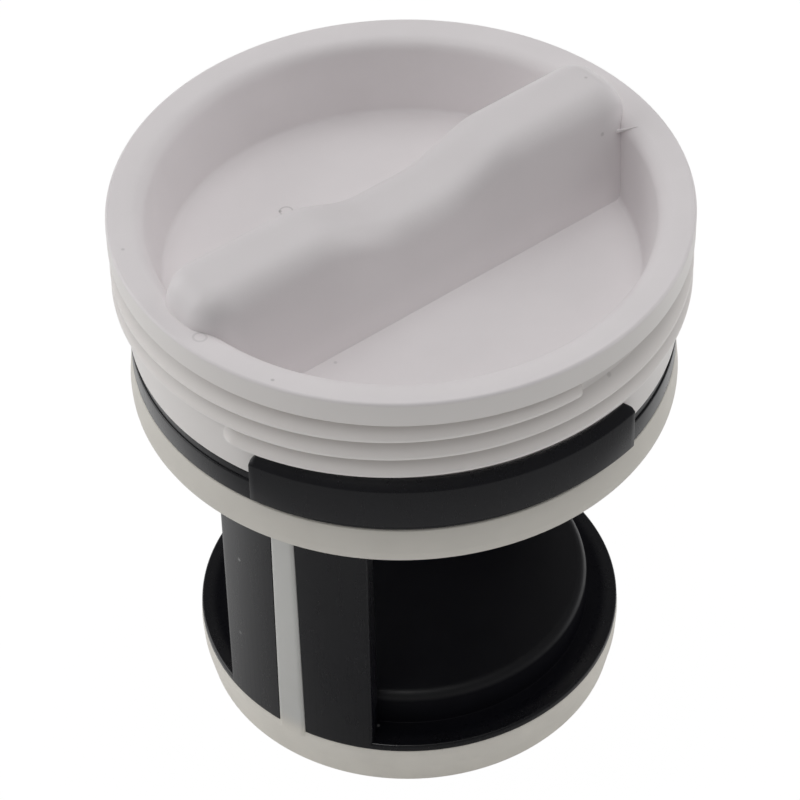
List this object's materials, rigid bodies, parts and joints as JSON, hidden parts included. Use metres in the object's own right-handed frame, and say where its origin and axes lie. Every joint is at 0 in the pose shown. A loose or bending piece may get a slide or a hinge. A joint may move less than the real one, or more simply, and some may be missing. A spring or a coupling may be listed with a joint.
{
  "type": "drain pump filter",
  "caption": "Washing machine drain pump filter: pale screw cap with a finger grip and coarse thread, turning on a black filter insert with a cream moulded seal.",
  "frame": {"origin": "centre of the base, on the surface that the filter stands on", "axes": "+Z is the screw axis from the base up to the grip, and -Y is the side with the key lug"},
  "size_m": [0.066, 0.066, 0.0741],
  "materials": {
    "cap_plastic": "satin moulded",
    "insert_plastic": "semi-gloss moulded",
    "seal_rubber": "soft matte"
  },
  "bodies": {
    "insert": {"filter_insert": "insert_plastic", "seal": "seal_rubber"},
    "cap": {"screw_cap": "cap_plastic"}
  },
  "joints": [
    {"name": "cap_turn", "type": "hinge", "parent": "insert", "child": "cap", "pos_m": [0, 0, 0.0562], "axis": [0, 0, 1], "continuous": true}
  ]
}
